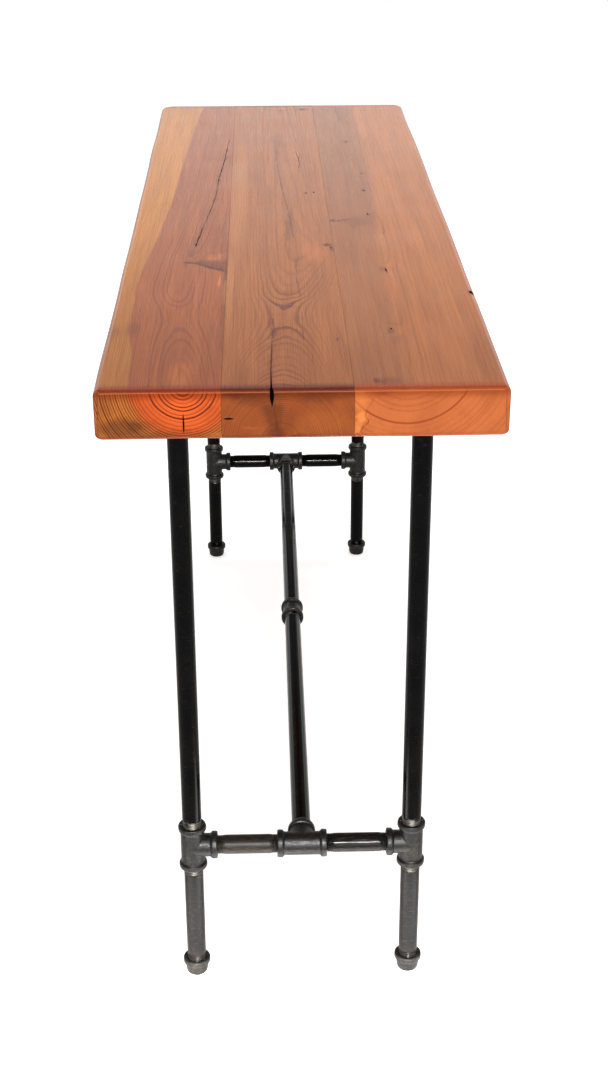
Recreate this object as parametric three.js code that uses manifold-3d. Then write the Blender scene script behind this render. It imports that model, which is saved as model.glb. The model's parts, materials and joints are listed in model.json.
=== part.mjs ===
// Console table: a thick timber top, glued up from three boards, on a frame of threaded iron pipe.
//
// Millimetres, +Z up. X runs along the table, Y across it, and the origin is on the floor under the
// middle of the top. The pipe is half-inch nominal black iron pipe and the fittings are banded
// malleable iron ones of the same size. Each end of the table has a leg frame: two legs, each of an
// upper pipe, a tee, a lower pipe and a cap for a foot, joined by two short nipples and a centre tee.
// A stretcher of two pipes and a coupling joins the centre tees. A floor flange on each leg takes
// four wood screws into the top.

import * as THREE from "three";
import { mergeVertices } from "three/addons/utils/BufferGeometryUtils.js";
import Module from "manifold-3d";

// ---- driving dimensions ----

const TOP = { length: 1302, width: 383, thickness: 47.5, cornerRadius: 9, edgeRadius: 6 };
const BOARD_WIDTHS = { front: 117, middle: 122, back: 144 }; // along +Y, glued edge to edge
const GLUE_GAP = 0.2;

const PIPE = { radius: 10.67, boreRadius: 7.9, threadLength: 20, threadTipRadius: 10.05 };
const ENGAGEMENT = 11.5; // how far a pipe's end goes into a fitting
const PIPE_LENGTHS = { upperLeg: 508, lowerLeg: 149, crossNipple: 89, stretcher: 524 };

const FITTING = {
  bodyRadius: 13,
  bandRadius: 15.3,
  bandWidth: 6,
  bandSlope: 1.6, // the length of the slope from band to body
  socketRadius: 10.9,
  socketDepth: 14,
  waterwayRadius: 9,
};
const TEE_CENTRE_TO_END = 27.5;
const COUPLING = { length: 34, ribWidth: 2.6, ribHeight: 1.3, ribs: 2 };
const CAP = { height: 20.5, floorThickness: 6, footRadius: 9, heelRadius: 12.2, heelHeight: 3.2 };
const FLANGE = {
  radius: 40,
  plateThickness: 5,
  rimEase: 1.2,
  height: 16,
  hubRadius: 15.4,
  filletRadius: 4,
  screwCircleRadius: 29,
  screwHoleRadius: 2.9,
  countersinkRadius: 5.7,
  countersinkDepth: 2.8,
  pipeSetback: 2, // from the mounting face to the end of the leg pipe
  seatGap: 0.3,
};
const SCREW = {
  headRadius: 4.9,
  headHeight: 2.5,
  shankRadius: 2.3,
  length: 25,
  pointLength: 5,
  recessWidth: 1.1,
  recessSpan: 4.6,
  recessDepth: 1.3,
  pilotRadius: 2.75,
  pilotDepth: 22,
};

const SEGMENTS = { round: 20, screw: 10, flange: 24, roundOver: 3 };
const OVERRUN = 1; // how far a cutter runs past the face that it cuts

// ---- positions that follow from them ----

const exposed = (length) => length - 2 * ENGAGEMENT;
const TEE_HEIGHT = CAP.height + exposed(PIPE_LENGTHS.lowerLeg) + TEE_CENTRE_TO_END;
const UPPER_PIPE_BOTTOM = TEE_HEIGHT + TEE_CENTRE_TO_END - ENGAGEMENT;
const TOP_UNDERSIDE = UPPER_PIPE_BOTTOM + PIPE_LENGTHS.upperLeg + FLANGE.pipeSetback;
const LEG_Y = 2 * TEE_CENTRE_TO_END + exposed(PIPE_LENGTHS.crossNipple);
const LEG_X = TEE_CENTRE_TO_END + exposed(PIPE_LENGTHS.stretcher) + COUPLING.length / 2;

const ENDS = [
  { name: "right", x: 1 },
  { name: "left", x: -1 },
];
const SIDES = [
  { name: "front", y: -1 },
  { name: "back", y: 1 },
];

// ---- solids ----

const wasm = await Module();
wasm.setup();

function toSolid(geometry) {
  const bare = geometry.clone();
  bare.deleteAttribute("normal");
  bare.deleteAttribute("uv");
  const merged = mergeVertices(bare, 1e-4);
  return new wasm.Manifold(
    new wasm.Mesh({
      numProp: 3,
      vertProperties: merged.attributes.position.array,
      triVerts: Uint32Array.from(merged.index.array),
    }),
  );
}

function toGeometry(solid) {
  const mesh = solid.getMesh();
  return new THREE.BufferGeometry()
    .setAttribute("position", new THREE.BufferAttribute(mesh.vertProperties.slice(), 3))
    .setIndex(new THREE.BufferAttribute(mesh.triVerts.slice(), 1));
}

// A solid of revolution about Z, from [radius, z] points in order up the outside.
function turned(profile, segments = SEGMENTS.round) {
  const points = profile.map(([radius, z]) => new THREE.Vector2(radius, z));
  return new THREE.LatheGeometry(points, segments).rotateX(Math.PI / 2);
}

// The same for a ring: the points go round its section and come back to the first.
function turnedRing(profile, segments = SEGMENTS.round) {
  return turned([...profile, profile[0]], segments);
}

function rod(radius, bottom, top, segments = SEGMENTS.round) {
  return turned([[0, bottom], [radius, bottom], [radius, top], [0, top]], segments);
}

// ---- the pipes ----

// A pipe along +Z from the origin, with a tapered thread on each end.
function pipe(length) {
  const { radius, boreRadius, threadLength, threadTipRadius } = PIPE;
  return turnedRing([
    [boreRadius, 0],
    [threadTipRadius, 0],
    [radius, threadLength],
    [radius, length - threadLength],
    [threadTipRadius, length],
    [boreRadius, length],
  ]);
}

// ---- the fittings ----

// The outline of a banded end whose mouth is at z = end, from the body outwards.
function bandOutline(end) {
  const { bodyRadius, bandRadius, bandWidth, bandSlope } = FITTING;
  return [
    [bodyRadius, end - bandWidth - bandSlope],
    [bandRadius, end - bandWidth],
    [bandRadius, end],
  ];
}

// The same band at the bottom of a fitting, whose mouth is at z = end, from the mouth upwards.
function bandOutlineBelow(end) {
  return bandOutline(0)
    .map(([radius, z]) => [radius, end - z])
    .reverse();
}

function socket(end) {
  return toSolid(rod(FITTING.socketRadius, end - FITTING.socketDepth, end + OVERRUN));
}

// A tee at the origin: its run lies along Z and its branch along +X.
function tee() {
  const end = TEE_CENTRE_TO_END;
  const along = (solid) => solid.rotate([0, 90, 0]); // turns +Z to +X
  const run = toSolid(turned([[0, -end], ...bandOutlineBelow(-end), ...bandOutline(end), [0, end]]));
  const branch = toSolid(turned([[0, 0], [FITTING.bodyRadius, 0], ...bandOutline(end), [0, end]]));
  const cutters = [
    toSolid(rod(FITTING.waterwayRadius, -end, end)),
    along(toSolid(rod(FITTING.waterwayRadius, 0, end))),
    socket(end),
    socket(end).rotate([180, 0, 0]),
    along(socket(end)),
  ];
  const blank = run.add(along(branch));
  return toGeometry(cutters.reduce((solid, cutter) => solid.subtract(cutter), blank));
}

// A coupling along Z, centred on the origin, with straight ribs between its bands.
function coupling() {
  const half = COUPLING.length / 2;
  const { bodyRadius, bandWidth, socketRadius } = FITTING;
  const outline = [...bandOutlineBelow(-half), ...bandOutline(half)];
  let body = toSolid(turnedRing([[socketRadius, -half], ...outline, [socketRadius, half]]));
  const reach = bodyRadius + COUPLING.ribHeight - socketRadius - OVERRUN;
  const rib = new THREE.BoxGeometry(reach, COUPLING.ribWidth, COUPLING.length - bandWidth);
  rib.translate(bodyRadius + COUPLING.ribHeight - reach / 2, 0, 0);
  for (let i = 0; i < COUPLING.ribs; i += 1) {
    body = body.add(toSolid(rib).rotate([0, 0, (360 * i) / COUPLING.ribs]));
  }
  return toGeometry(body);
}

// A foot cap standing on the origin, with its socket open upwards.
function cap() {
  const { height, floorThickness, footRadius, heelRadius, heelHeight } = CAP;
  const { bodyRadius, socketRadius } = FITTING;
  return turned([
    [0, 0],
    [footRadius, 0],
    [heelRadius - 0.7, heelHeight / 3],
    [heelRadius, heelHeight],
    [bodyRadius, height / 2],
    ...bandOutline(height),
    [socketRadius, height],
    [socketRadius, floorThickness],
    [0, floorThickness],
  ]);
}

// Where a flange's screws stand round its axis, as [x, y] pairs.
const SCREW_PLACES = [45, 135, 225, 315].map((degrees) => {
  const angle = THREE.MathUtils.degToRad(degrees);
  return [FLANGE.screwCircleRadius * Math.cos(angle), FLANGE.screwCircleRadius * Math.sin(angle)];
});

// A floor flange hanging from the origin: its mounting face is at z = 0 and its hub points down.
function flange() {
  const { radius, plateThickness, rimEase, height, hubRadius, filletRadius } = FLANGE;
  const { screwHoleRadius, countersinkRadius, countersinkDepth } = FLANGE;
  const { socketRadius } = FITTING;
  const blank = toSolid(
    turnedRing(
      [
        [socketRadius, -height],
        [hubRadius, -height],
        [hubRadius, -plateThickness - filletRadius],
        [hubRadius + filletRadius / 3, -plateThickness - filletRadius / 3],
        [hubRadius + filletRadius, -plateThickness],
        [radius - rimEase, -plateThickness],
        [radius, -plateThickness + rimEase],
        [radius, 0],
        [socketRadius, 0],
      ],
      SEGMENTS.flange,
    ),
  );
  const sinkTop = -plateThickness + countersinkDepth;
  const slope = (countersinkRadius - screwHoleRadius) / countersinkDepth;
  const hole = toSolid(
    turned(
      [
        [0, -plateThickness - OVERRUN],
        [countersinkRadius + slope * OVERRUN, -plateThickness - OVERRUN],
        [screwHoleRadius, sinkTop],
        [screwHoleRadius, OVERRUN],
        [0, OVERRUN],
      ],
      SEGMENTS.screw,
    ),
  );
  return toGeometry(
    SCREW_PLACES.reduce((solid, [x, y]) => solid.subtract(hole.translate([x, y, 0])), blank),
  );
}

// A countersunk wood screw: the face of its head is at z = 0 and its point is up.
function screw() {
  const { headRadius, headHeight, shankRadius, length, pointLength } = SCREW;
  const { recessWidth, recessSpan, recessDepth } = SCREW;
  const body = toSolid(
    turned(
      [
        [0, 0],
        [headRadius, 0],
        [shankRadius, headHeight],
        [shankRadius, length - pointLength],
        [0, length],
      ],
      SEGMENTS.screw,
    ),
  );
  const slot = new THREE.BoxGeometry(recessSpan, recessWidth, 2 * recessDepth);
  const cross = toSolid(slot).add(toSolid(slot.clone().rotateZ(Math.PI / 2)));
  return toGeometry(body.subtract(cross));
}

// ---- the top ----

// The whole top as one block with eased corners and edges, its underside at z = 0.
function topBlock() {
  const { length, width, thickness, cornerRadius, edgeRadius } = TOP;
  const x = length / 2 - edgeRadius;
  const y = width / 2 - edgeRadius;
  const r = cornerRadius - edgeRadius;
  const outline = new THREE.Shape()
    .moveTo(-x + r, -y)
    .lineTo(x - r, -y)
    .absarc(x - r, -y + r, r, -Math.PI / 2, 0)
    .lineTo(x, y - r)
    .absarc(x - r, y - r, r, 0, Math.PI / 2)
    .lineTo(-x + r, y)
    .absarc(-x + r, y - r, r, Math.PI / 2, Math.PI)
    .lineTo(-x, -y + r)
    .absarc(-x + r, -y + r, r, Math.PI, 1.5 * Math.PI);
  const block = new THREE.ExtrudeGeometry(outline, {
    depth: thickness - 2 * edgeRadius,
    bevelEnabled: true,
    bevelSize: edgeRadius,
    bevelThickness: edgeRadius,
    bevelSegments: SEGMENTS.roundOver,
    curveSegments: SEGMENTS.roundOver,
  });
  return toSolid(block.translate(0, 0, edgeRadius));
}

// The pilot holes for the screws of all four flanges, as one cutter.
function pilotHoles() {
  const hole = toSolid(rod(SCREW.pilotRadius, -OVERRUN, SCREW.pilotDepth, SEGMENTS.screw));
  const holes = ENDS.flatMap((end) =>
    SIDES.flatMap((side) =>
      SCREW_PLACES.map(([x, y]) => hole.translate([end.x * LEG_X + x, side.y * LEG_Y + y, 0])),
    ),
  );
  return holes.reduce((all, one) => all.add(one));
}

// One board for each width, cut from the block so that only the outer edges are eased.
function boards() {
  const block = topBlock().subtract(pilotHoles());
  const cut = {};
  let edge = -TOP.width / 2;
  for (const [name, width] of Object.entries(BOARD_WIDTHS)) {
    const slice = new THREE.BoxGeometry(TOP.length * 2, width - GLUE_GAP, TOP.thickness * 4);
    slice.translate(0, edge + width / 2, 0);
    cut[name] = toGeometry(block.intersect(toSolid(slice)));
    edge += width;
  }
  return cut;
}

// ---- materials ----

function varnishedTimber(color) {
  return new THREE.MeshStandardMaterial({ color, roughness: 0.42, metalness: 0 });
}

function iron(color, roughness, metalness) {
  return new THREE.MeshStandardMaterial({ color, roughness, metalness });
}

const MATERIALS = {
  front: varnishedTimber(0xb9774f),
  middle: varnishedTimber(0xb27b55),
  back: varnishedTimber(0xc2835c),
  pipe: iron(0x161617, 0.35, 0.6),
  fitting: iron(0x3b3835, 0.55, 0.7),
  screw: iron(0x2a2a2c, 0.45, 0.8),
};

// ---- assembly ----

const UP = [0, 0, 0];
const DOWN = [Math.PI, 0, 0];
const ALONG_Y = [-Math.PI / 2, 0, 0]; // turns +Z to +Y
const ALONG_X = [0, Math.PI / 2, 0]; // turns +Z to +X

const table = new THREE.Group();

function place(name, geometry, material, position, rotation = UP) {
  const mesh = new THREE.Mesh(geometry, material);
  mesh.name = name;
  mesh.position.set(...position);
  mesh.rotation.set(...rotation);
  table.add(mesh);
}

function addTop() {
  for (const [name, geometry] of Object.entries(boards())) {
    place(`top_board_${name}`, geometry, MATERIALS[name], [0, 0, TOP_UNDERSIDE]);
  }
}

function addLeg(corner, x, y, shapes) {
  const flangeFace = TOP_UNDERSIDE - FLANGE.seatGap;
  const screwHead = flangeFace - FLANGE.plateThickness;
  const inward = [0, 0, (-Math.sign(y) * Math.PI) / 2]; // turns the tee's branch towards the middle
  place(`foot_cap_${corner}`, shapes.cap, MATERIALS.fitting, [x, y, 0]);
  place(`lower_leg_pipe_${corner}`, shapes.lowerLeg, MATERIALS.pipe, [x, y, CAP.height - ENGAGEMENT]);
  place(`leg_tee_${corner}`, shapes.tee, MATERIALS.fitting, [x, y, TEE_HEIGHT], inward);
  place(`upper_leg_pipe_${corner}`, shapes.upperLeg, MATERIALS.pipe, [x, y, UPPER_PIPE_BOTTOM]);
  place(`floor_flange_${corner}`, shapes.flange, MATERIALS.fitting, [x, y, flangeFace]);
  SCREW_PLACES.forEach(([dx, dy], i) => {
    const name = `flange_screw_${corner}_${i + 1}`;
    place(name, shapes.screw, MATERIALS.screw, [x + dx, y + dy, screwHead + FLANGE.seatGap]);
  });
}

// The two nipples and the centre tee between a pair of legs.
function addCrossBar(end, shapes) {
  const x = end.x * LEG_X;
  const nippleStart = TEE_CENTRE_TO_END - ENGAGEMENT;
  for (const side of SIDES) {
    const turn = side.y > 0 ? ALONG_Y : [Math.PI / 2, 0, 0];
    const start = [x, side.y * nippleStart, TEE_HEIGHT];
    place(`cross_nipple_${end.name}_${side.name}`, shapes.crossNipple, MATERIALS.pipe, start, turn);
  }
  // The run lies along Y and the branch points to the table's middle.
  const towardsMiddle = end.x > 0 ? [Math.PI / 2, Math.PI, 0] : ALONG_Y;
  place(`centre_tee_${end.name}`, shapes.tee, MATERIALS.fitting, [x, 0, TEE_HEIGHT], towardsMiddle);
}

function addStretcher(shapes) {
  const start = COUPLING.length / 2 - ENGAGEMENT;
  for (const end of ENDS) {
    const turn = end.x > 0 ? ALONG_X : [0, -Math.PI / 2, 0];
    const from = [end.x * start, 0, TEE_HEIGHT];
    place(`stretcher_pipe_${end.name}`, shapes.stretcher, MATERIALS.pipe, from, turn);
  }
  place("stretcher_coupling", shapes.coupling, MATERIALS.fitting, [0, 0, TEE_HEIGHT], ALONG_X);
}

const shapes = {
  cap: cap(),
  tee: tee(),
  coupling: coupling(),
  flange: flange(),
  screw: screw(),
  ...Object.fromEntries(Object.entries(PIPE_LENGTHS).map(([name, length]) => [name, pipe(length)])),
};

addTop();
for (const end of ENDS) {
  for (const side of SIDES) {
    addLeg(`${end.name}_${side.name}`, end.x * LEG_X, side.y * LEG_Y, shapes);
  }
  addCrossBar(end, shapes);
}
addStretcher(shapes);

export default table;
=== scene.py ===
"""The console table's looks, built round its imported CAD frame. Metres, in the CAD's own frame."""
import itertools
import json
import math

import bmesh
import bpy
import numpy as np
from mathutils import Matrix, Vector, noise

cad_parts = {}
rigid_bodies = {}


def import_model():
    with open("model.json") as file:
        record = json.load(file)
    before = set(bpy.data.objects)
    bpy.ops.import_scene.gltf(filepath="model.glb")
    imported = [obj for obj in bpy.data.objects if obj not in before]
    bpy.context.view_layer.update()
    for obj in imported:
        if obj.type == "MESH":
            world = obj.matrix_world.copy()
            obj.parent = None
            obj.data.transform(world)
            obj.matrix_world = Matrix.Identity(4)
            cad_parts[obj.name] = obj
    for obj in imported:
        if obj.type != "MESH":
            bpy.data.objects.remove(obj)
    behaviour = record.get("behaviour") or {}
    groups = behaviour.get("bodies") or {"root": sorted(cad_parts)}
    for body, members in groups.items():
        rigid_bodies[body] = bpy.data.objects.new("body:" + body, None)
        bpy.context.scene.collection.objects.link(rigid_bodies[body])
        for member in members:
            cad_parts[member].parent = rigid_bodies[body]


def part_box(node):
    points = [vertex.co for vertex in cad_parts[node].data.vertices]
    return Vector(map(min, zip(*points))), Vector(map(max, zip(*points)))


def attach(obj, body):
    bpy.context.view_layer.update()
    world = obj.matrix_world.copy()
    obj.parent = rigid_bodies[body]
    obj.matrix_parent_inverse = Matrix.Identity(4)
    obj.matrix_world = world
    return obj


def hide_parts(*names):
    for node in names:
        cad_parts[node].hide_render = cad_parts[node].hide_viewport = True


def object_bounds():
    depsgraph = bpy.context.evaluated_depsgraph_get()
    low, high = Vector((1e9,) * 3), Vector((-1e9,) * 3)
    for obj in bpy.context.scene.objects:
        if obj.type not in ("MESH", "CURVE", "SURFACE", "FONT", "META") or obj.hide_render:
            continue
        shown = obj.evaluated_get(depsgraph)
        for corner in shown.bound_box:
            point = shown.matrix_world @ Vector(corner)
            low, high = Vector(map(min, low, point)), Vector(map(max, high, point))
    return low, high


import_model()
cad_low, cad_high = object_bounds()

MM = 0.001
ENDS = ("right", "left")
SIDES = ("front", "back")
CORNERS = [f"{end}_{side}" for end in ENDS for side in SIDES]
SCREWS = (1, 2, 3, 4)
X_AXIS, Y_AXIS, Z_AXIS = Vector((1, 0, 0)), Vector((0, 1, 0)), Vector((0, 0, 1))


# ---------------------------------------------------------------- camera, light and floor

CAMERA_PAST_LEGS = 1.550  # along X, from the near pair of legs to the camera
CAMERA_SIDE = -0.035
CAMERA_HEIGHT = 1.287
CAMERA_YAW = 0.0247
CAMERA_PITCH = -0.4456
CAMERA_ROLL = -0.0031
CAMERA_LENS = 56.43


def box_centre(node):
    low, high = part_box(node)
    return (low + high) / 2


def box_size(node):
    low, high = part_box(node)
    return high - low


def add_camera():
    level = math.cos(CAMERA_PITCH)
    forward = Vector((-level * math.cos(CAMERA_YAW), level * math.sin(CAMERA_YAW), math.sin(CAMERA_PITCH)))
    right = forward.cross(Z_AXIS).normalized()
    up = right.cross(forward)
    rolled_right = right * math.cos(CAMERA_ROLL) + up * math.sin(CAMERA_ROLL)
    rolled_up = up * math.cos(CAMERA_ROLL) - right * math.sin(CAMERA_ROLL)
    data = bpy.data.cameras.new("camera")
    data.lens = CAMERA_LENS
    data.sensor_width = 36
    camera = bpy.data.objects.new("camera", data)
    turn = Matrix((rolled_right, rolled_up, -forward)).transposed().to_4x4()
    legs = box_centre("upper_leg_pipe_right_front")
    place = (legs.x + CAMERA_PAST_LEGS, CAMERA_SIDE, CAMERA_HEIGHT)
    camera.matrix_world = Matrix.Translation(place) @ turn
    bpy.context.scene.collection.objects.link(camera)
    bpy.context.scene.camera = camera


HORIZON_LIGHT = 2.33
ROOM_LIGHT = 0.4
BACKDROP_EDGE = (0.165, 0.31)  # where the backdrop fades into the room, as heights on a sphere of radius 1
BACKDROP_FOOT = (0.02, 0.14)  # where it is dimmed just above the floor
FOOT_SHARE = 0.46
FLOOR_HALF_SIZE = 40.0
FLOOR_GLOW = 0.55
LIGHT_HEIGHT = 1.85  # from the top, or from the near cross bar, to the lights above them
LIGHT_PAST_FRAME = 1.95  # along X, from the near cross bar to the lights by the camera
LIGHT_SIDE = 0.1


def add_area_light(name, place, target, size, power, diffuse=True, glossy=True, receivers=None):
    """A soft box that the camera doesn't see. Its diffuse light or its reflections can be left out."""
    data = bpy.data.lights.new(name, "AREA")
    data.shape = "RECTANGLE"
    data.size, data.size_y = size
    data.energy = power
    light = bpy.data.objects.new(name, data)
    aim = (Vector(target) - Vector(place)).to_track_quat("-Z", "Y")
    light.matrix_world = Matrix.Translation(place) @ aim.to_matrix().to_4x4()
    light.visible_camera = False
    light.visible_diffuse = diffuse
    light.visible_glossy = glossy
    if receivers is not None:
        light.light_linking.receiver_collection = receivers
    bpy.context.scene.collection.objects.link(light)


def add_world():
    """A white backdrop low down, dimmer at its foot, with a darker room above it."""
    world = bpy.data.worlds.new("studio")
    world.use_nodes = True
    tree = Nodes(world.node_tree)
    rise = tree.split(tree.node("ShaderNodeTexCoord").outputs["Generated"])[2]
    background = world.node_tree.nodes["Background"]
    background.inputs["Color"].default_value = (1, 1, 1, 1)
    backdrop = tree.fade(rise, *BACKDROP_EDGE, HORIZON_LIGHT, ROOM_LIGHT)
    backdrop = tree.mul(backdrop, tree.fade(rise, *BACKDROP_FOOT, FOOT_SHARE, 1.0))
    tree.put(background.inputs["Strength"], backdrop)
    bpy.context.scene.world = world


def add_studio():
    """Soft boxes over the table and by the camera. The ones with receivers shine on the iron alone."""
    add_world()
    bpy.context.scene.view_settings.view_transform = "Standard"
    near, far, top = box_centre("centre_tee_right"), box_centre("centre_tee_left"), cad_high.z
    above = top + LIGHT_HEIGHT
    by_camera = near.x + LIGHT_PAST_FRAME
    iron = iron_pieces()
    key = (by_camera, LIGHT_SIDE, near.z + LIGHT_HEIGHT)
    add_area_light("key_above_camera", key, (near.x, 0, 0.5), (1.0, 0.2), 17, glossy=False)
    wide = (near.x + 2.13, LIGHT_SIDE, near.z + 0.86)
    add_area_light("wide_gloss", wide, near, (1.6, 1.9), 110, diffuse=False, receivers=iron)
    narrow = (by_camera, LIGHT_SIDE, near.z + 1.2)
    add_area_light("narrow_gloss", narrow, near, (1.2, 0.12), 370, diffuse=False, receivers=iron)
    edge = (cad_high.x + 0.1, 0, above)
    add_area_light("edge_gloss", edge, (cad_high.x, 0, top), (1.2, 0.1), 9, diffuse=False)
    add_area_light("overhead", (0.1, 0, above), (0.1, 0, top), (2.6, 1.6), 26, glossy=False)
    far_place = (far.x - 0.2, LIGHT_SIDE, above)
    add_area_light("far_top", far_place, (far.x, 0, top), (1.2, 1.0), 17, glossy=False)
    # A pool of light on the floor in front of the near feet, which the lower pipes and castings reflect.
    pool = (near.x + 0.12, 0, 0.04)
    add_area_light("floor_pool", pool, (pool[0], 0, 0), (0.16, 0.6), 4.4)


def iron_pieces():
    """The pipes, castings and screws, for lights that shine on them and not on the timber."""
    made = bpy.data.collections.new("iron_pieces")
    for piece in bpy.context.scene.objects:
        if piece.name.startswith("fine_") and "board" not in piece.name:
            made.objects.link(piece)
    return made


def add_floor():
    half = FLOOR_HALF_SIZE
    corners = [(-half, -half, 0), (half, -half, 0), (half, half, 0), (-half, half, 0)]
    floor = mesh_object("floor", corners, [(0, 1, 2, 3)])
    shader = Shader("floor_pale")
    shader.set("Base Color", (0.9, 0.9, 0.9, 1))
    shader.set("Roughness", 0.9)
    shader.set("Specular IOR Level", 0.0)
    shader.set("Emission Color", (1, 1, 1, 1))
    shader.set("Emission Strength", FLOOR_GLOW)
    floor.data.materials.append(shader.material)


# ---------------------------------------------------------------- shader building


class Nodes:
    """A node tree, with one short call for each kind of node that is used here."""

    def __init__(self, tree):
        self.nodes = tree.nodes
        self.links = tree.links

    def put(self, socket, value):
        """Links value to socket if it is a node's output, or else sets it."""
        if isinstance(value, bpy.types.NodeSocket):
            self.links.new(value, socket)
        else:
            socket.default_value = value

    def node(self, kind, **settings):
        made = self.nodes.new(kind)
        for key, value in settings.items():
            setattr(made, key, value)
        return made

    def split(self, vector):
        made = self.node("ShaderNodeSeparateXYZ")
        self.links.new(vector, made.inputs[0])
        return made.outputs["X"], made.outputs["Y"], made.outputs["Z"]

    def join(self, x, y, z):
        made = self.node("ShaderNodeCombineXYZ")
        for socket, value in zip(made.inputs, (x, y, z)):
            self.put(socket, value)
        return made.outputs[0]

    def math(self, operation, a, b=0.0):
        made = self.node("ShaderNodeMath", operation=operation)
        for socket, value in zip(made.inputs, (a, b)):
            self.put(socket, value)
        return made.outputs[0]

    def add(self, a, b):
        return self.math("ADD", a, b)

    def sub(self, a, b):
        return self.math("SUBTRACT", a, b)

    def mul(self, a, b):
        return self.math("MULTIPLY", a, b)

    def absolute(self, a):
        return self.math("ABSOLUTE", a)

    def most(self, *values):
        made = values[0]
        for value in values[1:]:
            made = self.math("MAXIMUM", made, value)
        return made

    def fade(self, value, low, high, start=0.0, end=1.0, smooth=True):
        """start at low and below, end at high and above, and a smooth change between them."""
        kind = "SMOOTHSTEP" if smooth else "LINEAR"
        made = self.node("ShaderNodeMapRange", interpolation_type=kind, clamp=True)
        keys = ("Value", "From Min", "From Max", "To Min", "To Max")
        for key, item in zip(keys, (value, low, high, start, end)):
            self.put(made.inputs[key], item)
        return made.outputs["Result"]

    def noise(self, vector, scale, detail=3.0, roughness=0.5):
        made = self.node("ShaderNodeTexNoise")
        self.put(made.inputs["Vector"], vector)
        for key, value in (("Scale", scale), ("Detail", detail), ("Roughness", roughness)):
            made.inputs[key].default_value = value
        return made.outputs["Fac"]

    def cells(self, vector, scale):
        made = self.node("ShaderNodeTexVoronoi")
        self.put(made.inputs["Vector"], vector)
        made.inputs["Scale"].default_value = scale
        return made.outputs["Distance"]

    def mix(self, share, a, b):
        made = self.node("ShaderNodeMix", data_type="RGBA", clamp_factor=True)
        self.put(made.inputs["Factor"], share)
        self.put(made.inputs[6], a)
        self.put(made.inputs[7], b)
        return made.outputs[2]

    def ramp(self, value, stops):
        made = self.node("ShaderNodeValToRGB")
        elements = made.color_ramp.elements
        while len(elements) < len(stops):
            elements.new(0.5)
        for element, (position, shade) in zip(elements, stops):
            element.position = position
            element.color = shade
        self.links.new(value, made.inputs[0])
        return made.outputs["Color"]

    def along(self, x, points):
        """A smooth line through points of (x, value), held level beyond its ends."""
        made = self.node("ShaderNodeFloatCurve")
        curve = made.mapping.curves[0]
        first, last = points[0][0], points[-1][0]
        values = [value for _, value in points]
        low, span = min(values), max(max(values) - min(values), 1e-6)
        while len(curve.points) < len(points):
            curve.points.new(0.5, 0.5)
        for point, (at, value) in zip(curve.points, points):
            point.location = ((at - first) / (last - first), (value - low) / span)
        made.mapping.update()
        self.links.new(self.fade(x, first, last, smooth=False), made.inputs["Value"])
        return self.add(self.mul(made.outputs[0], span), low)


class Shader(Nodes):
    """A material, and the point on the piece that its patterns are worked out from."""

    def __init__(self, name):
        self.material = bpy.data.materials.new(name)
        self.material.use_nodes = True
        super().__init__(self.material.node_tree)
        self.bsdf = self.nodes["Principled BSDF"]
        self.place = self.node("ShaderNodeTexCoord").outputs["Object"]  # metres, in the row frame

    def set(self, name, value):
        self.put(self.bsdf.inputs[name], value)

    def tint(self, base, share, red, green, blue):
        """base with a share of an sRGB colour mixed into it."""
        return self.mix(share, base, colour(red, green, blue))

    def bump(self, height, strength, distance):
        made = self.node("ShaderNodeBump")
        self.links.new(height, made.inputs["Height"])
        made.inputs["Strength"].default_value = strength
        made.inputs["Distance"].default_value = distance
        self.links.new(made.outputs[0], self.bsdf.inputs["Normal"])


def colour(red, green, blue):
    """An sRGB colour, 0 to 255, as the linear values that a shader takes."""
    def linear(value):
        value /= 255
        return value / 12.92 if value <= 0.04045 else ((value + 0.055) / 1.055) ** 2.4
    return (linear(red), linear(green), linear(blue), 1)


# ---------------------------------------------------------------- meshes


def link_object(name, mesh):
    made = bpy.data.objects.new(name, mesh)
    bpy.context.scene.collection.objects.link(made)
    return made


def mesh_object(name, verts, faces):
    mesh = bpy.data.meshes.new(name)
    mesh.from_pydata([tuple(v) for v in verts], [], faces)
    return link_object(name, mesh)


def make_outward(obj):
    work = bmesh.new()
    work.from_mesh(obj.data)
    bmesh.ops.recalc_face_normals(work, faces=work.faces)
    work.to_mesh(obj.data)
    work.free()


def closed_object(name, verts, faces):
    made = mesh_object(name, verts, faces)
    make_outward(made)
    return made


def finish_piece(piece, materials, node, sharp_degrees):
    """Makes a mesh the finished piece that stands for its CAD node."""
    for material in materials:
        piece.data.materials.append(material)
    piece.data.polygons.foreach_set("use_smooth", [True] * len(piece.data.polygons))
    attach(piece, "root")
    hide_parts(node)
    piece.data.set_sharp_from_angle(angle=math.radians(sharp_degrees))


def ring_faces(below, above, segments):
    """The faces between two rings of vertices, given the number of the first vertex of each."""
    faces = []
    for i in range(segments):
        j = (i + 1) % segments
        faces.append((below + i, below + j, above + j, above + i))
    return faces


def capped_tube(name, verts, count, segments):
    """A closed object from a number of rings of vertices, one after another."""
    faces = []
    for n in range(count - 1):
        faces += ring_faces(n * segments, (n + 1) * segments, segments)
    faces.append(tuple(range(segments - 1, -1, -1)))
    faces.append(tuple((count - 1) * segments + i for i in range(segments)))
    return closed_object(name, verts, faces)


def turn_rows(rows, segments):
    """Vertices and faces of a surface turned about Z. A row is (radius, z), or a function of the angle."""
    verts, faces = [], []
    for row in rows:
        for i in range(segments):
            angle = 2 * math.pi * i / segments
            radius, z = row(angle) if callable(row) else row
            verts.append((radius * math.cos(angle), radius * math.sin(angle), z))
    for r in range(len(rows) - 1):
        faces += ring_faces(r * segments, (r + 1) * segments, segments)
    return verts, faces


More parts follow.
